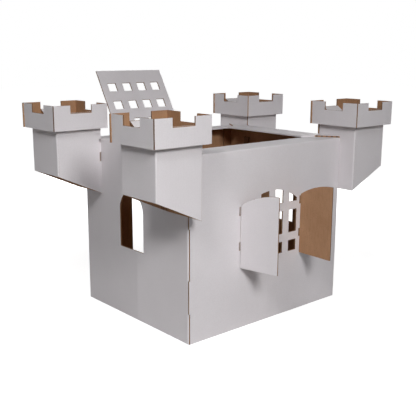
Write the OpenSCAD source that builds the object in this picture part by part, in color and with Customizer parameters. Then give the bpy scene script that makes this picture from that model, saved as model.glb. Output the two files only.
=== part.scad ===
// Play castle folded from white-faced corrugated board: four walls, four turrets and two shutters.
// Millimetres, +Z up. The front wall, with the lattice window, faces -Y.
// The origin is the middle of the front wall's foot, halfway through the board.

/* [Board] */
// Thickness of the corrugated board
board = 7; // [5:0.5:9]
// Play between a tab and the slot it sits in
slot_play = 0.8; // [0.3:0.1:1.5]
// Gap left where two layers of board lie over each other
hook_gap = 0.3; // [0.1:0.1:0.8]
// How far a shutter's fold bulges past the board on each side
fold_bulge = 0.5; // [0.4:0.1:0.6]

/* [Walls] */
// Outside width of the walls, left to right
castle_width = 1000; // [900:10:1200]
// Outside depth of the walls, front to back
castle_depth = 824; // [760:10:1000]
// Height of the front and back walls
wall_height = 845; // [820:5:880]
// Depth of the rim folded in from the front wall
front_rim = 135; // [80:5:160]
// Depth of the rim folded in from each side wall
side_rim = 145; // [90:5:170]
// Depth of the rim folded in from the back wall
back_rim = 100; // [60:5:140]
// How far the ends of the rims are cut back at the inner edge
rim_taper = 60; // [30:5:90]
// How far in from the side the slanting end of a side rim runs
rim_cut_in = 74; // [40:1:100]
// How far back from the front the slanting end of a side rim runs
rim_cut_back = 108; // [60:1:130]
// Width of the side wall flange that lies behind the front or back wall
flange_width = 60; // [40:5:90]
// How far the ends of the front and back walls stop short of the corner
end_set = 5; // [4:1:14]
// Height of the lower corner tab above the floor
corner_tab_foot = 142; // [100:2:170]
// Length of each corner tab
corner_tab = 153; // [100:1:170]
// Spacing of the two tabs on a corner
corner_tab_pitch = 386; // [340:2:420]

/* [Lattice window] */
// How far the middle of the window and its shutters lies to the right of the wall's middle
window_middle = 10; // [0:1:20]
// Width of one pane
pane_width = 54; // [40:1:60]
// Width of the bars between the pane columns
bar_width = 43; // [30:1:48]
// Height of the bars between the pane rows
rail_height = 40; // [25:1:50]
// Foot of the lowest panes above the floor
pane_foot = 315; // [300:1:330]
// Height of the lowest panes
low_pane = 55; // [40:1:65]
// Height of the middle panes
mid_pane = 113; // [90:1:120]
// Height of the tallest upper pane at the top of the arch
top_pane = 72; // [62:1:80]
// Radius of the arch over the upper panes
pane_arch = 291; // [270:1:330]

/* [Shutters] */
// Width of one shutter leaf
leaf_width = 198; // [190:1:202]
// Foot of the shutters above the floor
leaf_foot = 295; // [270:1:300]
// Height of a leaf at its hinge edge
leaf_side = 295; // [280:1:310]
// Rise of the arched top from the hinge edge to the free edge
leaf_rise = 62; // [40:1:80]
// Half the distance between the two hinge lines
hinge_half = 203; // [203:1:215]
// How far the left shutter stands open, in degrees
left_open = 77; // [60:1:90]
// How far the right shutter stands open, in degrees
right_open = 89; // [70:1:100]
// Lower slot above the foot of the leaf
leaf_slot_foot = 85; // [60:1:100]
// Spacing of the two slots
leaf_slot_pitch = 165; // [140:1:170]
// Length of a slot
leaf_slot_length = 38; // [25:1:42]
// How far a slot is open on each side of the tab in it
leaf_slot_open = 8; // [2:1:10]
// Reach of the hook behind the wall
leaf_hook = 35; // [20:1:45]

/* [Side windows] */
// Width of the arched side window
side_window_width = 188; // [150:2:220]
// Sill above the floor
side_window_sill = 346; // [300:2:380]
// Height from the sill to the spring of the arch
side_window_rise = 185; // [150:2:200]
// Middle of the window from the front face
side_window_middle = 428; // [400:2:440]

/* [Gate and portcullis] */
// Width of the gate in the back wall
gate_width = 446; // [400:5:480]
// Height of the gate
gate_height = 625; // [600:2:640]
// Gap cut between the portcullis and each side of the gate
gate_cut = 5; // [2:0.5:8]
// Lean of the lifted portcullis away from the vertical, in degrees
portcullis_lean = 31; // [20:1:50]
// Number of hole columns
hole_columns = 4; // [3:1:4]
// Number of hole rows
hole_rows = 5; // [3:1:5]
// Height of a hole
hole_height = 51; // [40:1:60]
// Spacing of the hole rows
hole_pitch = 110.3; // [100:0.1:115]
// Spacing of the hole columns
hole_step = 98.2; // [90:0.2:105]
// Distance from the portcullis fold to the nearest row of holes
hole_start = 55; // [40:1:65]

/* [Turrets] */
// Outside width of a square turret
turret_size = 240; // [220:2:250]
// How far a turret stands out in front of the wall it shares
turret_out = 90; // [70:2:110]
// Foot of the turret at the wall
turret_foot = 582; // [570:1:600]
// Rise of the slanted foot from the wall to the outer side
foot_rise = 109; // [80:1:130]
// Width of the glue flap inside the turret
glue_flap = 40; // [30:1:60]
// Length of the tabs that hold a turret on the wall
turret_tab = 44; // [30:1:50]
// How far the upper tab's top lies below the wall's top
upper_tab_drop = 58; // [40:1:80]
// How far the lower tab's foot lies above the turret's foot
lower_tab_rise = 48; // [40:1:60]
// Width of the notch that the upper tab leaves in the turret's corner
tab_notch = 9; // [7:1:14]
// Height of the notch in the same corner at the top of the wall
top_notch = 17; // [10:1:24]
// Reach of the tab's hook inside the wall
turret_hook = 30; // [20:1:40]

/* [Crowns] */
// Gap from the turret's side to the outer face of its crown
crown_margin = 27; // [22:1:32]
// Foot of the crown above the floor
crown_foot = 906; // [900:1:915]
// Height of the crown
crown_height = 117; // [105:1:125]
// Width of the notch in each side
notch_width = 115; // [90:1:130]
// Depth of the notch
notch_depth = 41; // [36:1:46]
// Slope of the folded notch flap below level, in degrees
flap_slope = 35; // [30:1:40]
// How far the crossed ends stand past the corner
crown_end = 5; // [4:1:14]
// Width of the opened edge on the scored corner
score_width = 5; // [3:0.5:6]

/* [Hidden] */
$fn = 64;
half = castle_width / 2;
side_height = wall_height + hook_gap + board;
turret_in = turret_size - turret_out;
upper_tab_foot = wall_height - upper_tab_drop - turret_tab;
lower_tab_foot = turret_foot + lower_tab_rise;
crown_size = turret_size + 2 * crown_margin;
crown_top = crown_foot + crown_height;
notch_foot = crown_top - notch_depth;
flap_gap = 0.2;
turret_top = notch_foot - crown_margin * tan(flap_slope) - flap_gap;
pane_pitch = pane_width + bar_width;
mid_foot = pane_foot + low_pane + rail_height;
top_foot = mid_foot + mid_pane + rail_height;
arch_top = top_foot + top_pane;
leaf_arch = (leaf_width * leaf_width + leaf_rise * leaf_rise) / (2 * leaf_rise);
leaf_start = 1.5;
tab_ease = 0.5;
tab_place = turret_in - 2 * (board + tab_ease);
// Overlap of two stretches of the same sheet where they are drawn apart
seam = 1;
portcullis_width = gate_width - 2 * gate_cut;
white = "white";

front_right_walls();
back_left_walls();
left_shutter();
right_shutter();
front_left_turret();
front_right_turret();
back_left_turret();
back_right_turret();
front_left_crown();
front_right_crown();
back_left_crown();
back_right_crown();

// Everything is drawn with the front face at y = 0 and then moved half a board forward
module placed() {
  translate([0, -board / 2, 0])
    children();
}

// Two legs of board meeting in a fold with a round outside, corner at the origin
module fold_l(along_y, along_x) {
  translate([0, board])
    square([board, along_y - board]);
  translate([board, 0])
    square([along_x - board, board]);
  intersection() {
    translate([board, board])
      circle(r = board);
    square([board, board]);
  }
}

// A profile drawn in Y and Z, swept along X
module sweep_x(from, length) {
  translate([from, 0, 0])
    rotate([90, 0, 90])
      linear_extrude(length)
        children();
}

// A profile drawn in X and Z, swept along Y
module sweep_y(from, length) {
  translate([0, from + length, 0])
    rotate([90, 0, 0])
      linear_extrude(length)
        children();
}

// A flat shape drawn in X and Z, as a cut through a wall whose outer face is at y = 0
module through_wall() {
  sweep_y(-1, board + 2)
    children();
}

// Column where a sheet turns from one wall to the next, outer corner at the origin
module corner_fold() {
  linear_extrude(wall_height)
    intersection() {
      translate([board, board])
        circle(r = board);
      square([board, board]);
    }
}

// Upright wall with a rim folded inward at the top.
// Its left end has the corner tabs, its right end runs into the corner fold.
module rimmed_wall(rim) {
  difference() {
    sweep_x(-half, castle_width)
      translate([0, wall_height])
        mirror([0, 1])
          fold_l(wall_height, rim);
    for (side = [0, 1])
      mirror([side, 0, 0])
        translate([0, 0, wall_height - board - 1])
          linear_extrude(board + 2)
            polygon([[half + 1, board], [half - board - slot_play, board],
              [half - rim_taper, rim + 1], [half + 1, rim + 1]]);
    mirror([1, 0, 0])
      through_wall()
        end_cut();
    through_wall()
      translate([half - board, -1])
        square([board + 1, wall_height + 2]);
  }
}

// What is cut from the end of a wall, leaving the corner tabs
module end_cut() {
  difference() {
    translate([half - end_set, -1])
      square([end_set + 1, wall_height + 2]);
    for (i = [0, 1])
      translate([half - end_set - 1, corner_tab_foot + i * corner_tab_pitch])
        square([end_set + 2, corner_tab]);
  }
}

// Panes of the lattice, the upper row cut off by the arch
module lattice() {
  for (i = [-1.5:1:1.5])
    translate([i * pane_pitch - pane_width / 2, 0]) {
      translate([0, pane_foot])
        square([pane_width, low_pane]);
      translate([0, mid_foot])
        square([pane_width, mid_pane]);
    }
  intersection() {
    for (i = [-1.5:1:1.5])
      translate([i * pane_pitch - pane_width / 2, top_foot])
        square([pane_width, top_pane + 1]);
    translate([0, arch_top - pane_arch])
      circle(r = pane_arch, $fn = 128);
  }
}

// Slots for the hinge tabs of one shutter
module leaf_slots() {
  for (i = [0, 1])
    translate([-board / 2 - leaf_slot_open, leaf_foot + leaf_slot_foot + i * leaf_slot_pitch - slot_play])
      square([board + 2 * leaf_slot_open, leaf_slot_length + 2 * slot_play]);
}

module front_wall() {
  difference() {
    rimmed_wall(front_rim);
    through_wall()
      translate([window_middle, 0]) {
        lattice();
        for (side = [-1, 1])
          translate([side * hinge_half, 0])
            leaf_slots();
      }
  }
}

// Portcullis drawn flat, hinge edge along the X axis
module portcullis_shape() {
  difference() {
    translate([-portcullis_width / 2, 0])
      square([portcullis_width, gate_height]);
    for (i = [0:hole_columns - 1], j = [0:hole_rows - 1])
      translate([(i - (hole_columns - 1) / 2) * hole_step - pane_width / 2, hole_start + j * hole_pitch])
        square([pane_width, hole_height]);
  }
}

// Back wall with its gate, drawn as the front wall is, and the portcullis lifted outward on its fold
module back_wall() {
  difference() {
    rimmed_wall(back_rim);
    through_wall()
      translate([-gate_width / 2, -1])
        square([gate_width, gate_height + 1]);
  }
  translate([0, 0, gate_height]) {
    rotate([90 + portcullis_lean, 0, 0])
      linear_extrude(board)
        portcullis_shape();
    sweep_x(-portcullis_width / 2, portcullis_width)
      circle(r = board);
  }
}

// Slot in a side wall for a turret tab, drawn in Y and Z from the tab's front face
module turret_slot(y, z) {
  translate([y - slot_play, z - slot_play])
    square([board + 2 * slot_play, turret_tab + 2 * slot_play]);
}

// The slots of the turret at the front end of a side wall
module turret_slots() {
  turret_slot(tab_place, upper_tab_foot);
  turret_slot(turret_in / 2 - board, lower_tab_foot);
}

// Arched window drawn in Y and Z
module side_window() {
  translate([side_window_middle, side_window_sill]) {
    translate([-side_window_width / 2, 0])
      square([side_window_width, side_window_rise]);
    translate([0, side_window_rise])
      circle(d = side_window_width, $fn = 96);
  }
}

// One end of a side wall: folded on into the next wall, or with a flange that is glued behind it
module side_end(folded) {
  linear_extrude(wall_height - board - 2)
    translate([0, board])
      if (folded)
        square([board, castle_depth / 2 - board]);
      else
        fold_l(castle_depth / 2 - board, flange_width);
  if (folded)
    corner_fold();
}

// Side wall drawn with its outer face at x = 0 and the room on +X.
// Its flange is at y = 0 and its fold at the far end.
module side_wall() {
  difference() {
    union() {
      side_end(false);
      translate([0, castle_depth, 0])
        mirror([0, 1, 0])
          side_end(true);
      sweep_y(board, castle_depth - 2 * board)
        translate([0, side_height])
          mirror([0, 1])
            fold_l(side_height - wall_height + 3 * board, board + seam);
      sweep_y(2 * board, castle_depth - 4 * board)
        square([board, wall_height]);
      translate([0, 0, side_height - board])
        linear_extrude(board)
          polygon([[board, 0], [rim_cut_in, rim_cut_back], [side_rim, front_rim],
            [side_rim, castle_depth - front_rim], [rim_cut_in, castle_depth - rim_cut_back],
            [board, castle_depth]]);
    }
    sweep_x(-1, board + 2) {
      side_window();
      turret_slots();
      translate([castle_depth, 0])
        mirror([1, 0])
          turret_slots();
    }
  }
}

// Turns what is drawn half round the middle of the castle
module half_turn() {
  translate([0, castle_depth, 0])
    rotate([0, 0, 180])
      children();
}

// Front and right walls, folded from one sheet
module front_right_walls() {
  color(white)
    placed() {
      front_wall();
      half_turn()
        translate([-half, 0, 0])
          side_wall();
    }
}

// Back and left walls with the portcullis, folded from one sheet
module back_left_walls() {
  color(white)
    placed() {
      half_turn()
        back_wall();
      translate([-half, 0, 0])
        side_wall();
    }
}

// Half of an arched leaf drawn flat, hinge edge at x = 0
module leaf_shape() {
  intersection() {
    translate([leaf_start, leaf_foot])
      square([leaf_width - leaf_start, leaf_side + leaf_rise]);
    translate([leaf_width, leaf_foot + leaf_side + leaf_rise - leaf_arch])
      circle(r = leaf_arch, $fn = 128);
  }
  for (i = [0, 1])
    translate([0, leaf_foot + leaf_slot_foot + i * leaf_slot_pitch])
      square([2 * leaf_start, leaf_slot_length]);
}

// Tab through the wall with its hook lying behind the wall towards -X
module leaf_tab() {
  translate([0, 0, tab_ease])
    linear_extrude(leaf_slot_length - 2 * tab_ease) {
      circle(r = board / 2 + fold_bulge);
      translate([-board / 2, 0])
        square([board, 2 * board + hook_gap]);
      translate([-board / 2 - leaf_hook, board + hook_gap])
        square([leaf_hook + board / 2, board]);
    }
}

// Shutter hinged on the left of the window, turned out of the wall by the given angle
module shutter(open) {
  translate([-hinge_half, 0, 0]) {
    rotate([0, 0, -open])
      sweep_y(-board / 2, board)
        leaf_shape();
    for (i = [0, 1])
      translate([0, 0, leaf_foot + leaf_slot_foot + i * leaf_slot_pitch])
        leaf_tab();
  }
}

module left_shutter() {
  color(white)
    placed()
      translate([window_middle, 0, 0])
        shutter(left_open);
}

module right_shutter() {
  color(white)
    placed()
      translate([window_middle, 0, 0])
        mirror([1, 0, 0])
          shutter(right_open);
}

// Plan of a turret: four sides and the glue flap, wall side at x = 0 and front side at y = 0
module turret_plan() {
  translate([-turret_size, 0])
    fold_l(turret_size / 2 + seam, turret_size / 2 + seam);
  translate([-turret_size, turret_size])
    mirror([0, 1])
      fold_l(turret_size / 2, turret_size);
  mirror([1, 0])
    fold_l(turret_size / 2 + seam, turret_size / 2);
  translate([0, turret_size - board])
    mirror([0, 1])
      mirror([1, 0])
        fold_l(turret_size / 2 - board, glue_flap);
}

// Tab through the side wall, its hook lying inside the wall towards +Y
module turret_tab_solid(root) {
  linear_extrude(turret_tab) {
    translate([-root, 0])
      square([root + 2 * board + hook_gap, board]);
    translate([board + hook_gap, 0])
      square([board, board + turret_hook]);
  }
}

// Turret at the front left corner, wall side at x = 0 and the wall it shares at y = 0
module turret() {
  difference() {
    translate([0, -turret_out, turret_foot])
      linear_extrude(turret_top - turret_foot)
        turret_plan();
    sweep_y(-turret_out - 1, turret_size + 2)
      polygon([[0, turret_foot], [-turret_size, turret_foot + foot_rise],
        [-turret_size - 1, turret_foot + foot_rise], [-turret_size - 1, turret_foot - 1],
        [1, turret_foot - 1], [1, turret_foot]]);
    translate([-board - 1, turret_in / 2, lower_tab_foot])
      cube([board + 2, turret_hook, turret_tab]);
    translate([-tab_notch, turret_in - board - tab_ease, upper_tab_foot])
      cube([tab_notch + 1, board + tab_ease + 1, turret_tab]);
    translate([-tab_notch, turret_in - board - tab_ease, side_height - top_notch])
      cube([tab_notch + 1, board + tab_ease + 1, top_notch]);
  }
  translate([0, tab_place, upper_tab_foot])
    turret_tab_solid(board);
  translate([0, turret_in / 2 - board, lower_tab_foot])
    turret_tab_solid(board);
}

module front_left_turret() {
  color(white)
    placed()
      translate([-half, 0, 0])
        turret();
}

module front_right_turret() {
  color(white)
    placed()
      mirror([1, 0, 0])
        translate([-half, 0, 0])
          turret();
}

module back_left_turret() {
  color(white)
    placed()
      translate([-half, castle_depth, 0])
        mirror([0, 1, 0])
          turret();
}

module back_right_turret() {
  color(white)
    placed()
      translate([half, castle_depth, 0])
        mirror([1, 0, 0])
          mirror([0, 1, 0])
            turret();
}

// Flap of a notch folded in and down onto the turret's top edge, fold line along X
module notch_flap() {
  rotate([180 + flap_slope, 0, 0])
    translate([-notch_width / 2, 0, -board])
      cube([notch_width, notch_depth, board]);
  sweep_x(-notch_width / 2, notch_width)
    circle(r = board);
}

// Strip along the front, right and back of a crown, up to the crossing at the left corner
module crown_run(edge) {
  translate([-edge, -edge])
    square([edge, board]);
  translate([edge, -edge])
    mirror([1, 0])
      fold_l(edge, edge);
  translate([edge, edge])
    mirror([1, 0])
      mirror([0, 1])
        fold_l(edge, crown_size + crown_end);
}

// Crown round a turret: one strip, scored at the near corner, its two ends crossed at the left corner
module crown() {
  edge = crown_size / 2;
  lap = crown_height / 2;
  difference() {
    union() {
      difference() {
        linear_extrude(crown_height)
          crown_run(edge);
        translate([-edge - slot_play, edge - board - 1, lap])
          cube([board + 2 * slot_play, board + 2, lap + 1]);
      }
      difference() {
        translate([-edge, -edge, 0])
          cube([board, crown_size + crown_end, crown_height]);
        translate([-edge - 1, edge - board - slot_play, -1])
          cube([board + 2, board + 2 * slot_play, lap + 1]);
      }
    }
    translate([-edge, -edge, crown_height / 2])
      rotate([0, 0, 45])
        cube([score_width, score_width, crown_height + 2], center = true);
    for (turn = [0, 90])
      rotate([0, 0, turn])
        translate([-notch_width / 2, -edge - 1, crown_height - notch_depth])
          cube([notch_width, crown_size + 2, notch_depth + 1]);
  }
  for (side = [0, 1])
    mirror([0, side, 0])
      translate([0, edge - board, crown_height - notch_depth])
        notch_flap();
}

module crown_at(x, y) {
  color(white)
    placed()
      translate([x, y, crown_foot])
        crown();
}

module front_left_crown() {
  crown_at(-half - turret_size / 2, turret_in - turret_size / 2);
}

module front_right_crown() {
  crown_at(half + turret_size / 2, turret_in - turret_size / 2);
}

module back_left_crown() {
  crown_at(-half - turret_size / 2, castle_depth - turret_in + turret_size / 2);
}

module back_right_crown() {
  crown_at(half + turret_size / 2, castle_depth - turret_in + turret_size / 2);
}
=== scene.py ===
import math

import bpy
from mathutils import Matrix, Vector

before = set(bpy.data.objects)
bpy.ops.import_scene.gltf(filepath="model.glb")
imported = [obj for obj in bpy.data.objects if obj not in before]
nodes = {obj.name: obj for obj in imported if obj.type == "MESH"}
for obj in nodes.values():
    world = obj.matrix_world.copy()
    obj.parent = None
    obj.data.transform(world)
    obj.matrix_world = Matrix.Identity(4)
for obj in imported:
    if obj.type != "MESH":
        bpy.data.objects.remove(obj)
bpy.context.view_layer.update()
scene = bpy.context.scene
print("frame loaded:", len(nodes), "pieces of board")


# small helpers for the node trees

nodeRow = {"start": -4000, "step": 220, "height": -400}    # nodes stand in one row in the editor
plainWhite = (1.0, 1.0, 1.0)


def newMaterial(name):
    mat = bpy.data.materials.new(name)
    mat.use_nodes = True
    tree = mat.node_tree
    shader = tree.nodes["Principled BSDF"]
    return mat, tree, shader


def addNode(tree, kind, **values):
    node = tree.nodes.new(kind)
    node.location = (nodeRow["start"] + nodeRow["step"] * len(tree.nodes), nodeRow["height"])
    for key, value in values.items():
        setattr(node, key, value)
    return node


# a socket takes a number, a colour or what another node gives
def feed(tree, socket, value):
    if isinstance(value, (int, float)):
        socket.default_value = value
    elif isinstance(value, tuple):
        socket.default_value = (*value, 1.0)
    else:
        tree.links.new(value, socket)


def addMath(tree, operation, *values):
    node = addNode(tree, "ShaderNodeMath", operation=operation)
    for socket, value in zip(node.inputs, values):
        feed(tree, socket, value)
    return node.outputs[0]


def addSplit(tree, vector):
    node = addNode(tree, "ShaderNodeSeparateXYZ")
    tree.links.new(vector, node.inputs[0])
    return node.outputs


def addNoise(tree, vector, scale, detail=2.0, roughness=0.5):
    node = addNode(tree, "ShaderNodeTexNoise")
    node.inputs["Scale"].default_value = scale
    node.inputs["Detail"].default_value = detail
    node.inputs["Roughness"].default_value = roughness
    tree.links.new(vector, node.inputs["Vector"])
    return node.outputs["Fac"]


def addStretch(tree, vector, scale):
    node = addNode(tree, "ShaderNodeMapping")
    node.inputs["Scale"].default_value = scale
    tree.links.new(vector, node.inputs["Vector"])
    return node.outputs["Vector"]


# a ramp between two stops, each a position and a colour
def addRamp(tree, factor, stops):
    node = addNode(tree, "ShaderNodeValToRGB")
    for element, (position, color) in zip(node.color_ramp.elements, stops):
        element.position = position
        element.color = (*color, 1.0)
    tree.links.new(factor, node.inputs["Fac"])
    return node.outputs["Color"]


def addMix(tree, factor, first, second, blend="MIX"):
    node = addNode(tree, "ShaderNodeMix", data_type="RGBA", blend_type=blend)
    for index, value in ((0, factor), (6, first), (7, second)):    # 6 and 7 are its colours
        feed(tree, node.inputs[index], value)
    return node.outputs[2]


# what the faces and the cut edges of the board have in common

fluteLook = {
    "pitch": 0.0082,
}


# x and y together run along every upright sheet, so the flutes stand up in all of them
def addFlutes(tree, axes):
    along = addMath(tree, "ADD", axes["X"], axes["Y"])
    wave = addMath(tree, "MULTIPLY", along, 2 * math.pi / fluteLook["pitch"])
    return addMath(tree, "SINE", wave)


# the relief is a height in metres
def finishBoard(tree, shader, look, color, height):
    bump = addNode(tree, "ShaderNodeBump")
    bump.inputs["Strength"].default_value = 1.0
    bump.inputs["Distance"].default_value = 1.0
    tree.links.new(height, bump.inputs["Height"])
    tree.links.new(bump.outputs["Normal"], shader.inputs["Normal"])
    tree.links.new(color, shader.inputs["Base Color"])
    shader.inputs["Roughness"].default_value = look["roughness"]
    shader.inputs["Specular IOR Level"].default_value = look["specular"]


# white printed liner, the outer face of every sheet

whiteLook = {
    "liner": [(0.3, (0.735, 0.7, 0.72)), (0.62, (0.78, 0.745, 0.765))],    # handled, clean
    "mottle": {"scale": 2.4, "detail": 4.0, "roughness": 0.55},
    "fibre": {"scale": 420.0, "detail": 2.0},
    "fibreTint": [(0.25, (0.93, 0.925, 0.92)), (0.6, plainWhite)],
    "fibreDepth": 0.00008,
    "fluteDepth": 0.00012,
    "roughness": 0.62,
    "specular": 0.3,
}


def makeWhite(name, creases=()):
    mat, tree, shader = newMaterial(name)
    place = addNode(tree, "ShaderNodeTexCoord").outputs["Object"]
    axes = addSplit(tree, place)

    mottle = addNoise(tree, place, **whiteLook["mottle"])
    color = addRamp(tree, mottle, whiteLook["liner"])
    fibre = addNoise(tree, place, **whiteLook["fibre"])
    tint = addRamp(tree, fibre, whiteLook["fibreTint"])
    color = addMix(tree, 1.0, color, tint, "MULTIPLY")

    flutes = addMath(tree, "MULTIPLY", addFlutes(tree, axes), whiteLook["fluteDepth"])
    fuzz = addMath(tree, "MULTIPLY", fibre, whiteLook["fibreDepth"])
    height = addMath(tree, "ADD", flutes, fuzz)

    # the relief slopes away on both sides of each crease where the sheet was folded flat for
    # packing, so the wall shades as if a little bent
    for axis, position, bend in creases:
        offset = addMath(tree, "SUBTRACT", axes[axis], position)
        away = addMath(tree, "ABSOLUTE", offset)
        slope = addMath(tree, "MULTIPLY", away, -bend)
        height = addMath(tree, "ADD", height, slope)

    finishBoard(tree, shader, whiteLook, color, height)
    return mat


# brown kraft liner, the inner face of every sheet

kraftLook = {
    "liner": [(0.3, (0.4, 0.22, 0.12)), (0.7, (0.5, 0.29, 0.165))],
    "cloud": {"scale": 6.0, "detail": 4.0, "roughness": 0.6},
    "fibre": {"scale": 160.0, "detail": 3.0},
    "fibreStretch": (1.0, 1.0, 0.12),    # the fibres run upright
    "fibreTint": [(0.3, (0.92, 0.91, 0.9)), (0.65, (1.02, 1.02, 1.02))],
    "fibreDepth": 0.0001,
    "fleck": (0.2, 0.105, 0.055),
    "speck": {"scale": 300.0, "detail": 1.0},
    "speckFrom": 0.71,    # noise above this is a fleck
    "fluteDepth": 0.00018,
    "roughness": 0.82,
    "specular": 0.2,
}


def makeKraft(name):
    mat, tree, shader = newMaterial(name)
    place = addNode(tree, "ShaderNodeTexCoord").outputs["Object"]
    axes = addSplit(tree, place)

    cloud = addNoise(tree, place, **kraftLook["cloud"])
    color = addRamp(tree, cloud, kraftLook["liner"])
    upright = addStretch(tree, place, kraftLook["fibreStretch"])
    fibre = addNoise(tree, upright, **kraftLook["fibre"])
    streak = addRamp(tree, fibre, kraftLook["fibreTint"])
    color = addMix(tree, 1.0, color, streak, "MULTIPLY")
    speck = addNoise(tree, place, **kraftLook["speck"])
    speckMask = addMath(tree, "GREATER_THAN", speck, kraftLook["speckFrom"])
    color = addMix(tree, speckMask, color, kraftLook["fleck"])

    flutes = addMath(tree, "MULTIPLY", addFlutes(tree, axes), kraftLook["fluteDepth"])
    fuzz = addMath(tree, "MULTIPLY", fibre, kraftLook["fibreDepth"])
    finishBoard(tree, shader, kraftLook, color, addMath(tree, "ADD", flutes, fuzz))
    return mat


# cut edge of the double-wall board: brown paper, with painted shade in the flute mouths, whose
# hollows are not built

edgeLook = {
    # the first stop is the brown paper, the second is painted shade standing in for the dark inside
    # of each flute mouth
    "flutes": [(0.1, (0.4, 0.23, 0.13)), (0.75, (0.13, 0.07, 0.04))],    # paper, mouth
    "mouthDepth": 0.0004,
    "fuzz": {"scale": 500.0, "detail": 2.0},
    "fuzzTint": [(0.3, (0.8, 0.8, 0.8)), (0.7, (1.1, 1.1, 1.1))],
    "roughness": 0.9,
    "specular": 0.1,
}


def makeEdge(name):
    mat, tree, shader = newMaterial(name)
    place = addNode(tree, "ShaderNodeTexCoord").outputs["Object"]
    flutes = addFlutes(tree, addSplit(tree, place))
    # painted shade: the flute mouths are darkened where their hollows would lie in shade
    color = addRamp(tree, flutes, edgeLook["flutes"])
    fuzz = addNoise(tree, place, **edgeLook["fuzz"])
    tint = addRamp(tree, fuzz, edgeLook["fuzzTint"])
    color = addMix(tree, 1.0, color, tint, "MULTIPLY")
    height = addMath(tree, "MULTIPLY", flutes, -edgeLook["mouthDepth"])
    finishBoard(tree, shader, edgeLook, color, height)
    return mat


# packing creases: the axis across each, its place, and the slope of the sheet on both sides of it

creaseLook = {
    "front and right": [("X", -0.01, 0.02), ("Y", 0.431, 0.03)],
    "back and left": [("Y", 0.386, 0.045), ("X", 0.012, -0.06)],
}

whiteBoard = makeWhite("white liner")
whiteFront = makeWhite("white liner, front and right walls", creaseLook["front and right"])
whiteBack = makeWhite("white liner, back and left walls", creaseLook["back and left"])
kraftBoard = makeKraft("kraft liner")
cutEdge = makeEdge("cut edge")
print("materials made")


# which side of each sheet is white: every face is read from its normal and its place

sortPlan = {
    "board": 0.007,       # thickness of the board
    "reach": 0.0008,      # how near a face has to lie to a sheet's plane
    "facing": 0.9,        # least part of a normal along the direction that it faces
    "straight": 0.999,    # least part of a normal along x or y on a straight panel
}


def near(a, b):
    return abs(a - b) < sortPlan["reach"]


wallPlan = {
    "lean": 31.0,         # degrees that the portcullis leans out
    "leafFacing": 0.99,   # least part of a normal across the portcullis
    "hemX": 0.425,        # the rims' inner edges lie within these
    "hemFrom": 0.106,
    "hemTo": 0.722,
    "hemRise": 0.1,       # most upward part of an inner edge's normal
    "square": 0.998,      # a normal with no part as large as this is on the round of a fold
    "slight": 0.01,       # how far a fold's face has to turn outward, and may turn down
}


# the walls' planes, from the sheet of the front and right walls
def readWalls():
    corners = [Vector(corner) for corner in nodes["front_right_walls"].bound_box]
    lowest, highest = corners[0], corners[6]
    return {
        "half": highest.x,                       # outer faces of the side walls
        "front": lowest.y,                       # outer faces of the front and back walls
        "back": highest.y,
        "rim": highest.z - sortPlan["board"],    # tops of the rims: the side rims lie on the others
        "sideRim": highest.z,
    }


walls = readWalls()
wallsMiddle = (walls["front"] + walls["back"]) / 2


# a face on a sheet's outer plane is white, and one on the other side of the board is brown
def sideOfSheet(normal, place, outward, plane):
    facing = normal.dot(outward)
    depth = plane - place.dot(outward)
    if facing > sortPlan["facing"] and near(depth, 0.0):
        return "white"
    if facing < -sortPlan["facing"] and near(depth, sortPlan["board"]):
        return "kraft"
    return None


def sheetsOfWalls(name):
    side = Vector((1 if "right" in name else -1, 0, 0))    # the side wall of the same sheet
    ahead = Vector((0, -1, 0))
    behind = Vector((0, 1, 0))
    up = Vector((0, 0, 1))
    board = sortPlan["board"]
    return [
        (side, walls["half"]),
        (ahead, -walls["front"]), (behind, walls["back"]),
        (ahead, -walls["front"] - board), (behind, walls["back"] - board),    # glued flanges
        (up, walls["rim"]), (up, walls["sideRim"]),
    ]


# the inner edge of a rim is turned under, so it shows the white liner; its slanting ends are cut
def isHem(normal, place):
    onRim = place.z > walls["rim"] - sortPlan["board"]
    inside = abs(place.x) < wallPlan["hemX"] and wallPlan["hemFrom"] < place.y < wallPlan["hemTo"]
    return abs(normal.z) < wallPlan["hemRise"] and onRim and inside


def sideOfPortcullis(normal, place):
    lean = math.radians(wallPlan["lean"])
    facing = normal.dot(Vector((0, -math.cos(lean), math.sin(lean))))
    outside = place.y > walls["back"] - sortPlan["board"]
    if outside and abs(facing) > wallPlan["leafFacing"]:
        return "white" if facing > 0 else "kraft"
    return None


# the outer round of a fold is neither straight nor level, and turns away from the middle
def isOuterFold(normal, place):
    board = sortPlan["board"]
    largest = max(abs(normal.x), abs(normal.y), abs(normal.z))
    away = Vector((place.x, place.y - wallsMiddle, 0)).dot(normal)
    outer = abs(place.x) > walls["half"] - board - sortPlan["reach"]
    outer = outer or place.y < walls["front"] + board
    outer = outer or walls["back"] - board < place.y < walls["back"]
    turned = away > wallPlan["slight"] and normal.z > -wallPlan["slight"]
    return largest < wallPlan["square"] and outer and turned


def faceOfWalls(name, normal, place):
    if isHem(normal, place):
        return "white"
    for outward, plane in sheetsOfWalls(name):
        kind = sideOfSheet(normal, place, outward, plane)
        if kind:
            return kind
    kind = sideOfPortcullis(normal, place)
    if kind:
        return kind
    return "white" if isOuterFold(normal, place) else "edge"


shutterPlan = {
    "open": {"left_shutter": -77.0, "right_shutter": 91.0},    # degrees, to the left negative
    "facing": 0.97,    # least part of a normal across the leaf
}


def faceOfShutter(name, normal):
    swing = math.radians(shutterPlan["open"][name])
    facing = normal.dot(Vector((math.sin(swing), -math.cos(swing), 0.0)))
    if abs(facing) < shutterPlan["facing"]:
        return "edge"
    return "white" if facing > 0 else "kraft"


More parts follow.
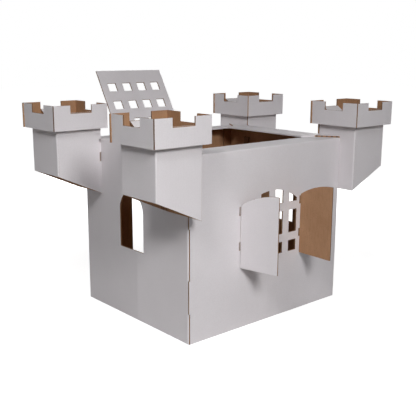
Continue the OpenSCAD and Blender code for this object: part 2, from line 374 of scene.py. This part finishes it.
tubePlan = {
    "turret": 0.12,       # half of the turret's width
    "crown": 0.147,       # half of the crown's width
    "inset": 0.03,        # from the front or back wall's face to the middle of its turrets
    "level": 0.3,         # most upward or downward part of a panel's normal
    "flapSlope": 35.0,    # degrees that a crown's flaps slope
    "flapReach": 0.02,    # how near a normal has to come to that slope
    "flapTurn": 0.4,      # least part of a flap's normal to the front or back
    "score": 0.69,        # least part of a normal along x and y on a scored corner
}


def middleOf(name):
    x = walls["half"] + tubePlan["turret"]
    front = walls["front"] + tubePlan["inset"]
    back = walls["back"] - tubePlan["inset"]
    return Vector((-x if "left" in name else x, front if "front" in name else back, 0.0))


def isFlap(normal):
    rise = math.cos(math.radians(tubePlan["flapSlope"]))
    sloping = abs(abs(normal.z) - rise) < tubePlan["flapReach"]
    return sloping and abs(normal.y) > tubePlan["flapTurn"]


# the cut end of a turret's sheet shows beside the wall, in the corner towards the castle's middle
def isSeam(middle, normal, place):
    inward = 1 if middle.y < wallsMiddle else -1
    atEnd = (place.y - middle.y) * inward > tubePlan["turret"] - sortPlan["board"]
    return atEnd and abs(normal.x) > sortPlan["facing"] and normal.x * middle.x < 0


def isScore(normal):
    return normal.x < -tubePlan["score"] and normal.y < -tubePlan["score"]


def faceOfTube(name, normal, place):
    turret = name.endswith("turret")
    half = tubePlan["turret"] if turret else tubePlan["crown"]
    middle = middleOf(name)
    if isFlap(normal):
        return "white" if normal.z > 0 else "kraft"
    if abs(normal.z) > tubePlan["level"] or (turret and isSeam(middle, normal, place)):
        return "edge"
    out = (place.x - middle.x) * normal.x + (place.y - middle.y) * normal.y
    if max(abs(normal.x), abs(normal.y)) > sortPlan["straight"]:
        if near(out, half):
            return "white"
        return "kraft" if near(out, sortPlan["board"] - half) else "edge"
    if not turret and isScore(normal):
        return "edge"
    return "white" if out > 0 else "kraft"


def faceKind(name, normal, place):
    if name.endswith("walls"):
        return faceOfWalls(name, normal, place)
    if name.endswith("shutter"):
        return faceOfShutter(name, normal)
    return faceOfTube(name, normal, place)


whiteOf = {"front_right_walls": whiteFront, "back_left_walls": whiteBack}
slotOf = {"white": 0, "kraft": 1, "edge": 2}

for name, piece in nodes.items():
    mesh = piece.data
    mesh.materials.clear()
    for mat in (whiteOf.get(name, whiteBoard), kraftBoard, cutEdge):
        mesh.materials.append(mat)
    for face in mesh.polygons:
        face.material_index = slotOf[faceKind(name, face.normal, face.center)]
print("faces sorted into white liner, kraft liner and cut edge")


# pale floor that fades into the white background and keeps the shadow

floorLook = {
    "size": 40.0,
    "color": (0.68, 0.68, 0.68),
    # painted shade: the dark colour that the floor inside the walls gives to bounced light
    "paintedShade": (0.06, 0.06, 0.06),    # inside the walls
    "nearGlow": 0.7,    # light added for what looks at the floor directly, so that it reads white
    "farGlow": 1.0,
    "fadeFrom": 1.3,    # metres from the middle of the castle
    "fadeTo": 2.6,
    "roughness": 0.9,
}


def seenDirectly(tree):
    path = addNode(tree, "ShaderNodeLightPath").outputs
    seen = addMath(tree, "MAXIMUM", path["Is Camera Ray"], path["Is Glossy Ray"])
    return addMath(tree, "MAXIMUM", seen, path["Is Transmission Ray"])


# 1 on the floor around the castle, 0 on the floor between its walls
def addOutside(tree, place):
    axes = addSplit(tree, place)
    across = addMath(tree, "ABSOLUTE", axes["X"])
    deep = addMath(tree, "ABSOLUTE", addMath(tree, "SUBTRACT", axes["Y"], wallsMiddle))
    beside = addMath(tree, "GREATER_THAN", across, walls["half"])
    beyond = addMath(tree, "GREATER_THAN", deep, walls["back"] - wallsMiddle)
    return addMath(tree, "MAXIMUM", beside, beyond)


# the glow is weaker near the castle, where the shadow falls
def addGlow(tree, place):
    away = addNode(tree, "ShaderNodeVectorMath", operation="DISTANCE")
    away.inputs[1].default_value = (0.0, wallsMiddle, 0.0)
    tree.links.new(place, away.inputs[0])
    fade = addNode(tree, "ShaderNodeMapRange")
    tree.links.new(away.outputs["Value"], fade.inputs[0])
    for index, key in enumerate(("fadeFrom", "fadeTo", "nearGlow", "farGlow"), start=1):
        fade.inputs[index].default_value = floorLook[key]
    return addMath(tree, "MULTIPLY", seenDirectly(tree), fade.outputs[0])


def makeFloor():
    bpy.ops.mesh.primitive_plane_add(size=floorLook["size"], location=(0, 0, 0))
    floor = bpy.context.object
    floor.name = "floor"
    mat, tree, shader = newMaterial("pale floor")
    shader.inputs["Roughness"].default_value = floorLook["roughness"]
    shader.inputs["Specular IOR Level"].default_value = 0.0
    shader.inputs["Emission Color"].default_value = (*plainWhite, 1.0)
    place = addNode(tree, "ShaderNodeTexCoord").outputs["Object"]
    outside = addOutside(tree, place)

    # painted shade: the floor inside the walls has a dark colour for bounced light only, so that
    # the room stays dim
    inside = addMath(tree, "SUBTRACT", 1.0, outside)
    path = addNode(tree, "ShaderNodeLightPath").outputs
    paintedShadeMask = addMath(tree, "MULTIPLY", inside, path["Is Diffuse Ray"])
    color = addMix(tree, paintedShadeMask, floorLook["color"], floorLook["paintedShade"])
    tree.links.new(color, shader.inputs["Base Color"])

    # it lies in their shade, so it doesn't glow either
    glow = addMath(tree, "MULTIPLY", addGlow(tree, place), outside)
    tree.links.new(glow, shader.inputs["Emission Strength"])
    floor.data.materials.append(mat)


makeFloor()
print("floor laid")


# faint room light, a little stronger from behind, and white where it is looked at

roomLook = {
    "sides": [(0.1, (0.015, 0.015, 0.015)), (0.9, (0.05, 0.05, 0.05))],    # front, back
    "top": (0.0, 0.0, 0.0),
}


def makeRoom():
    world = bpy.data.worlds.new("studio room")
    scene.world = world
    world.use_nodes = True
    tree = world.node_tree
    background = tree.nodes["Background"]
    axes = addSplit(tree, addNode(tree, "ShaderNodeTexCoord").outputs["Generated"])
    turned = addMath(tree, "MULTIPLY_ADD", axes["Y"], 0.5, 0.5)    # 0 in front, 1 behind
    sides = addRamp(tree, turned, roomLook["sides"])
    height = addMath(tree, "MAXIMUM", axes["Z"], 0.0)
    glow = addMix(tree, height, sides, roomLook["top"])
    color = addMix(tree, seenDirectly(tree), glow, plainWhite)
    tree.links.new(color, background.inputs["Color"])
    background.inputs["Strength"].default_value = 1.0


makeRoom()
print("room lit")


# a key in front, a higher fill to its left, and a low lamp for each of the far sides
# places and sizes are in metres, spreads in degrees and powers in watts

keyLook = {
    "place": (-1.7, -4.0, 3.3),
    "aim": (-1.0, 0.2, 0.2),
    "size": 1.4,
    "spread": 90,
    "power": 38.3,
}
fillLook = {
    "place": (-4.0, -2.0, 4.5),
    "aim": (-0.3, 0.3, 0.8),
    "size": 1.4,
    "spread": 110,
    "power": 34.0,
}
rightLook = {
    "place": (3.4, 2.0, 1.0),
    "aim": (0.3, 0.5, 0.5),
    "size": 1,
    "spread": 180,
    "power": 42.0,
}
backLook = {
    "place": (0.6, 4.4, 1.0),
    "aim": (0.0, 0.7, 0.5),
    "size": 1,
    "spread": 180,
    "power": 62.0,
}


def makeLamp(name, look):
    data = bpy.data.lights.new(name, "AREA")
    data.shape = "DISK"
    data.size = look["size"]
    data.energy = look["power"]
    data.spread = math.radians(look["spread"])
    lamp = bpy.data.objects.new(name, data)
    scene.collection.objects.link(lamp)
    lamp.location = look["place"]
    away = Vector(look["aim"]) - Vector(look["place"])
    lamp.rotation_euler = away.to_track_quat("-Z", "Y").to_euler()


makeLamp("key", keyLook)
makeLamp("fill", fillLook)
makeLamp("right lamp", rightLook)
makeLamp("back lamp", backLook)
print("lamps hung")


# camera at the photograph's place

cameraLook = {
    "place": (-2.32209, -2.2077, 1.27306),
    "heading": 41.187,     # degrees that the view is turned from +Y towards +X
    "tilt": 12.794,        # degrees that it looks down
    "roll": 0.272,         # degrees that it leans
    "lens": 59.94,
    "sensor": 36.0,
}


def makeCamera():
    heading, tilt, roll = (math.radians(cameraLook[key]) for key in ("heading", "tilt", "roll"))
    forward = Vector((math.sin(heading), math.cos(heading), 0.0))
    ahead = forward * math.cos(tilt) + Vector((0.0, 0.0, -math.sin(tilt)))
    level = Vector((math.cos(heading), -math.sin(heading), 0.0))
    upright = level.cross(ahead)
    right = level * math.cos(roll) + upright * math.sin(roll)
    up = upright * math.cos(roll) - level * math.sin(roll)
    turn = Matrix((right, up, -ahead)).transposed().to_4x4()
    data = bpy.data.cameras.new("camera")
    data.lens = cameraLook["lens"]
    data.sensor_width = cameraLook["sensor"]
    data.sensor_fit = "HORIZONTAL"
    camera = bpy.data.objects.new("camera", data)
    scene.collection.objects.link(camera)
    camera.matrix_world = Matrix.Translation(cameraLook["place"]) @ turn
    scene.camera = camera


makeCamera()
scene.view_settings.view_transform = "Standard"
print("camera placed")

bpy.context.view_layer.update()
